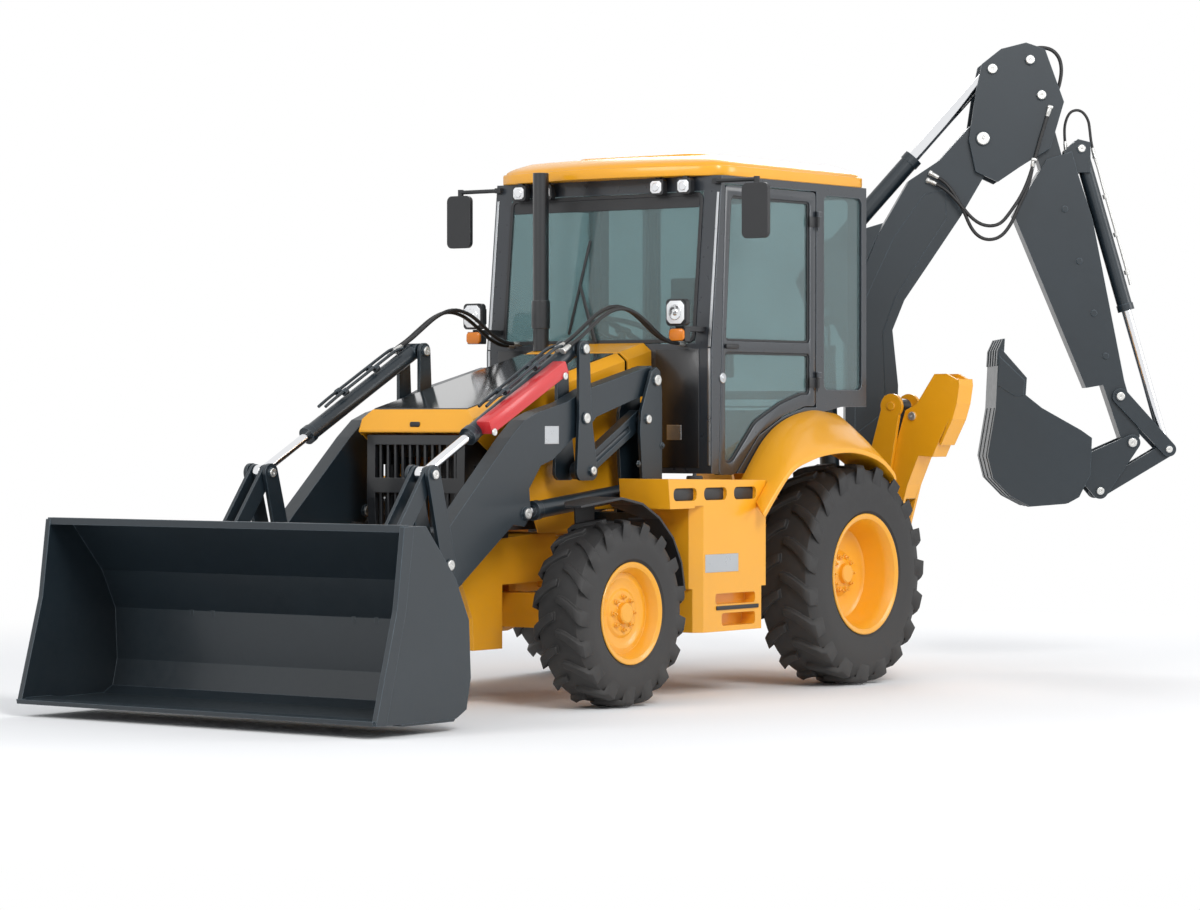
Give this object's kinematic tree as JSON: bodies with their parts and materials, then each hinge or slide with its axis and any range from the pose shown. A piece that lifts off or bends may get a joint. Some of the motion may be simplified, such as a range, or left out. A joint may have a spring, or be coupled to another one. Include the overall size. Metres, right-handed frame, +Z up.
{
  "type": "backhoe loader",
  "caption": "Wheeled backhoe loader with glazed cab, front loader bucket on raised arms, swinging rear backhoe with extending dipper, side stabilizers and steered front wheels.",
  "frame": {"origin": "on the floor, in the middle of the whole outline", "axes": "+X forward towards the loader bucket, +Y to the left, +Z up"},
  "size_m": [7.3858, 2.9712, 3.91],
  "materials": {
    "yellow_paint": "gloss",
    "slate_paint": "satin",
    "grey_paint": "satin",
    "black_paint": "satin",
    "cast_iron": "matte",
    "chrome_steel": "polished",
    "black_plastic": "matte",
    "tyre": "matte",
    "glass": "tinted"
  },
  "bodies": {
    "chassis": {"main_frame": "yellow_paint", "front_axle": "yellow_paint", "rear_axle": "yellow_paint", "engine_block": "cast_iron", "cowl": "yellow_paint", "grille": "black_paint", "exhaust": "black_paint", "cab_shell": "grey_paint", "cab_roof": "yellow_paint", "cab_glass": "glass", "seat": "black_plastic", "controls": "black_plastic", "rear_fenders": "yellow_paint", "side_steps": "yellow_paint", "lamps": "black_plastic", "mirrors": "black_plastic", "loader_frame": "slate_paint"},
    "hood": {"hood": "yellow_paint", "hood_panel": "black_paint"},
    "door_left": {"door_left": "grey_paint"},
    "door_right": {"door_right": "grey_paint"},
    "knuckle_left": {"knuckle_left": "black_paint"},
    "knuckle_right": {"knuckle_right": "black_paint"},
    "front_wheel_left": {"front_tyre_left": "tyre", "front_rim_left": "yellow_paint"},
    "front_wheel_right": {"front_tyre_right": "tyre", "front_rim_right": "yellow_paint"},
    "rear_wheel_left": {"rear_tyre_left": "tyre", "rear_rim_left": "yellow_paint"},
    "rear_wheel_right": {"rear_tyre_right": "tyre", "rear_rim_right": "yellow_paint"},
    "loader_arms": {"loader_arms": "slate_paint"},
    "loader_levers": {"loader_levers": "slate_paint"},
    "level_links": {"level_links": "slate_paint"},
    "lift_barrels": {"lift_barrels": "slate_paint"},
    "lift_rods": {"lift_rods": "chrome_steel"},
    "tilt_barrels": {"tilt_barrels": "slate_paint"},
    "tilt_rods": {"tilt_rods": "chrome_steel"},
    "bucket_rockers": {"bucket_rockers": "slate_paint"},
    "bucket_links": {"bucket_links": "slate_paint"},
    "loader_bucket": {"loader_bucket": "slate_paint"},
    "swing_post": {"swing_post": "slate_paint"},
    "boom": {"boom": "slate_paint"},
    "boom_barrel": {"boom_barrel": "slate_paint"},
    "boom_rod": {"boom_rod": "chrome_steel"},
    "dipper_barrel": {"dipper_barrel": "slate_paint"},
    "dipper_rod": {"dipper_rod": "chrome_steel"},
    "dipper": {"dipper": "slate_paint"},
    "dipper_slide": {"dipper_slide": "slate_paint"},
    "hoe_barrel": {"hoe_barrel": "slate_paint"},
    "hoe_rod": {"hoe_rod": "chrome_steel"},
    "hoe_rocker": {"hoe_rocker": "slate_paint"},
    "hoe_link": {"hoe_link": "slate_paint"},
    "hoe_bucket": {"hoe_bucket": "slate_paint"},
    "stabilizer_left": {"stabilizer_left": "yellow_paint"},
    "leg_barrel_left": {"leg_barrel_left": "slate_paint"},
    "leg_rod_left": {"leg_rod_left": "chrome_steel"},
    "stabilizer_right": {"stabilizer_right": "yellow_paint"},
    "leg_barrel_right": {"leg_barrel_right": "slate_paint"},
    "leg_rod_right": {"leg_rod_right": "chrome_steel"}
  },
  "joints": [
    {"name": "hood_lid", "type": "hinge", "parent": "chassis", "child": "hood", "pos_m": [0.51791, -0.26259, 1.895], "axis": [0, -1, 0], "range_deg": [0, 55]},
    {"name": "door_left_hinge", "type": "hinge", "parent": "chassis", "child": "door_left", "pos_m": [-0.80909, 0.55641, 2], "axis": [0, 0, 1], "range_deg": [0, 85]},
    {"name": "door_right_hinge", "type": "hinge", "parent": "chassis", "child": "door_right", "pos_m": [-0.80909, -1.08159, 2], "axis": [0, 0, -1], "range_deg": [0, 85]},
    {"name": "steer_left", "type": "hinge", "parent": "chassis", "child": "knuckle_left", "pos_m": [1.31791, 0.51741, 0.506], "axis": [0, 0, 1], "range_deg": [-35, 35]},
    {"name": "steer_right", "type": "hinge", "parent": "chassis", "child": "knuckle_right", "pos_m": [1.31791, -1.04259, 0.506], "axis": [0, 0, 1], "range_deg": [-35.5, 35.5]},
    {"name": "front_wheel_left_spin", "type": "hinge", "parent": "knuckle_left", "child": "front_wheel_left", "pos_m": [1.31791, 0.61741, 0.506], "axis": [0, 1, 0], "continuous": true},
    {"name": "rear_wheel_left_spin", "type": "hinge", "parent": "chassis", "child": "rear_wheel_left", "pos_m": [-0.88209, 0.66241, 0.645], "axis": [0, 1, 0], "continuous": true},
    {"name": "front_wheel_right_spin", "type": "hinge", "parent": "knuckle_right", "child": "front_wheel_right", "pos_m": [1.31791, -1.14259, 0.506], "axis": [0, 1, 0], "continuous": true},
    {"name": "rear_wheel_right_spin", "type": "hinge", "parent": "chassis", "child": "rear_wheel_right", "pos_m": [-0.88209, -1.18759, 0.645], "axis": [0, 1, 0], "continuous": true},
    {"name": "arms_lift", "type": "hinge", "parent": "chassis", "child": "loader_arms", "pos_m": [0.56491, -0.26259, 1.766], "axis": [0, -1, 0], "range_deg": [-4, 70]},
    {"name": "lever_tilt", "type": "hinge", "parent": "loader_arms", "child": "loader_levers", "pos_m": [1.22391, -0.26259, 1.553], "axis": [0, -1, 0], "range_deg": [-53.06, 3.5]},
    {"name": "link_tilt", "type": "hinge", "parent": "chassis", "child": "level_links", "pos_m": [0.65091, -0.26259, 1.548], "axis": [0, -1, 0], "range_deg": [-5.16, 82]},
    {"name": "lift_barrel_tilt", "type": "hinge", "parent": "chassis", "child": "lift_barrels", "pos_m": [0.58591, -0.26259, 1.157], "axis": [0, -1, 0], "range_deg": [-4.02, 62.06]},
    {"name": "lift_rod_slide", "type": "slide", "parent": "lift_barrels", "child": "lift_rods", "axis": [0.9949, 0, -0.1011], "range_m": [-0.04093, 0.68329]},
    {"name": "bucket_tilt", "type": "hinge", "parent": "loader_arms", "child": "loader_bucket", "pos_m": [2.83791, -0.26259, 0.335], "axis": [0, -1, 0], "range_deg": [-70, 30]},
    {"name": "rocker_tilt", "type": "hinge", "parent": "loader_arms", "child": "bucket_rockers", "pos_m": [2.39291, -0.26259, 0.79], "axis": [0, -1, 0], "range_deg": [-58.04, 25.16]},
    {"name": "bucket_link_tilt", "type": "hinge", "parent": "bucket_rockers", "child": "bucket_links", "pos_m": [2.51791, -0.26259, 1.262], "axis": [0, -1, 0], "range_deg": [-24.82, 57.24]},
    {"name": "tilt_barrel_tilt", "type": "hinge", "parent": "loader_arms", "child": "tilt_barrels", "pos_m": [1.23291, -0.26259, 1.93], "axis": [0, -1, 0], "range_deg": [-2.02, 1.15]},
    {"name": "tilt_rod_slide", "type": "slide", "parent": "tilt_barrels", "child": "tilt_rods", "axis": [0.8873, 0, -0.4612], "range_m": [-0.1969, 0.45676]},
    {"name": "swing", "type": "hinge", "parent": "chassis", "child": "swing_post", "pos_m": [-2.33209, -0.26259, 0.7], "axis": [0, 0, 1], "range_deg": [-37, 143]},
    {"name": "boom_lower", "type": "hinge", "parent": "swing_post", "child": "boom", "pos_m": [-2.44643, -0.11084, 0.9], "axis": [-0.7986, -0.6018, 0], "range_deg": [0, 100]},
    {"name": "boom_barrel_tilt", "type": "hinge", "parent": "swing_post", "child": "boom_barrel", "pos_m": [-2.28996, -0.31849, 1.13], "axis": [-0.7986, -0.6018, 0], "range_deg": [-0.5, 97.5]},
    {"name": "boom_rod_slide", "type": "slide", "parent": "boom_barrel", "child": "boom_rod", "axis": [0.0278, -0.0369, 0.9989], "range_m": [-0.002, 0.53433]},
    {"name": "dipper_open", "type": "hinge", "parent": "boom", "child": "dipper", "pos_m": [-2.85867, 0.43622, 3.308], "axis": [0.7986, 0.6018, 0], "range_deg": [-4, 100]},
    {"name": "dipper_barrel_tilt", "type": "hinge", "parent": "boom", "child": "dipper_barrel", "pos_m": [-2.2027, -0.43429, 2.44], "axis": [0.7986, 0.6018, 0], "range_deg": [-0.88, 10.07]},
    {"name": "dipper_rod_slide", "type": "slide", "parent": "dipper_barrel", "child": "dipper_rod", "axis": [-0.3975, 0.5275, 0.7508], "range_m": [-0.6546, 0.0281]},
    {"name": "dipper_extend", "type": "slide", "parent": "dipper", "child": "dipper_slide", "axis": [-0.1625, 0.2156, -0.9629], "range_m": [0, 0.9]},
    {"name": "hoe_bucket_open", "type": "hinge", "parent": "dipper_slide", "child": "hoe_bucket", "pos_m": [-3.42558, 1.18853, 1.4], "axis": [0.7986, 0.6018, 0], "range_deg": [-5, 150]},
    {"name": "hoe_rocker_tilt", "type": "hinge", "parent": "dipper_slide", "child": "hoe_rocker", "pos_m": [-3.38105, 1.12944, 1.691], "axis": [0.7986, 0.6018, 0], "range_deg": [-3.6, 93.5]},
    {"name": "hoe_link_tilt", "type": "hinge", "parent": "hoe_rocker", "child": "hoe_link", "pos_m": [-3.56521, 1.37382, 1.357], "axis": [0.7986, 0.6018, 0], "range_deg": [-15.5, 1]},
    {"name": "hoe_barrel_tilt", "type": "hinge", "parent": "dipper_slide", "child": "hoe_barrel", "pos_m": [-3.23661, 0.93776, 3.25], "axis": [0.7986, 0.6018, 0], "range_deg": [-0.89, 12.17]},
    {"name": "hoe_rod_slide", "type": "slide", "parent": "hoe_barrel", "child": "hoe_rod", "axis": [-0.1668, 0.2213, -0.9608], "range_m": [-0.5806, 0.02129]},
    {"name": "stabilizer_left_lower", "type": "hinge", "parent": "chassis", "child": "stabilizer_left", "pos_m": [-1.93209, 0.29741, 0.64], "axis": [-1, 0, 0], "range_deg": [0, 88]},
    {"name": "leg_barrel_left_tilt", "type": "hinge", "parent": "chassis", "child": "leg_barrel_left", "pos_m": [-1.93209, 0.42441, 1.627], "axis": [-1, 0, 0], "range_deg": [-11.63, 0.5]},
    {"name": "leg_rod_left_slide", "type": "slide", "parent": "leg_barrel_left", "child": "leg_rod_left", "axis": [0, -0.0254, -0.9997], "range_m": [-0.002, 0.32458]},
    {"name": "stabilizer_right_lower", "type": "hinge", "parent": "chassis", "child": "stabilizer_right", "pos_m": [-1.93209, -0.82259, 0.64], "axis": [1, 0, 0], "range_deg": [0, 88]},
    {"name": "leg_barrel_right_tilt", "type": "hinge", "parent": "chassis", "child": "leg_barrel_right", "pos_m": [-1.93209, -0.94959, 1.627], "axis": [1, 0, 0], "range_deg": [-11.63, 0.5]},
    {"name": "leg_rod_right_slide", "type": "slide", "parent": "leg_barrel_right", "child": "leg_rod_right", "axis": [0, 0.0254, -0.9997], "range_m": [-0.002, 0.32458]}
  ],
  "couplings": [
    {"joint": "steer_right", "follows": "steer_left", "ratio": 1},
    {"joint": "lever_tilt", "follows": "arms_lift", "ratio": -0.75093},
    {"joint": "link_tilt", "follows": "arms_lift", "ratio": 1.1643},
    {"joint": "lift_barrel_tilt", "follows": "arms_lift", "ratio": 0.87937},
    {"joint": "lift_rod_slide", "follows": "arms_lift", "m_per_rad": 0.55764},
    {"joint": "rocker_tilt", "follows": "bucket_tilt", "ratio": 0.82204},
    {"joint": "bucket_link_tilt", "follows": "bucket_tilt", "ratio": -0.81064},
    {"joint": "tilt_barrel_tilt", "follows": "bucket_tilt", "ratio": 0.02172},
    {"joint": "tilt_rod_slide", "follows": "bucket_tilt", "m_per_rad": -0.37222},
    {"joint": "boom_barrel_tilt", "follows": "boom_lower", "ratio": 0.97},
    {"joint": "boom_rod_slide", "follows": "boom_lower", "m_per_rad": 0.305},
    {"joint": "dipper_barrel_tilt", "follows": "dipper_open", "ratio": 0.0957},
    {"joint": "dipper_rod_slide", "follows": "dipper_open", "m_per_rad": -0.37391},
    {"joint": "hoe_rocker_tilt", "follows": "hoe_bucket_open", "ratio": 0.62},
    {"joint": "hoe_link_tilt", "follows": "hoe_bucket_open", "ratio": -0.1},
    {"joint": "hoe_barrel_tilt", "follows": "hoe_bucket_open", "ratio": 0.07779},
    {"joint": "hoe_rod_slide", "follows": "hoe_bucket_open", "m_per_rad": -0.22101},
    {"joint": "leg_barrel_left_tilt", "follows": "stabilizer_left_lower", "ratio": -0.12646},
    {"joint": "leg_rod_left_slide", "follows": "stabilizer_left_lower", "m_per_rad": 0.21003},
    {"joint": "leg_barrel_right_tilt", "follows": "stabilizer_right_lower", "ratio": -0.12646},
    {"joint": "leg_rod_right_slide", "follows": "stabilizer_right_lower", "m_per_rad": 0.21003}
  ]
}
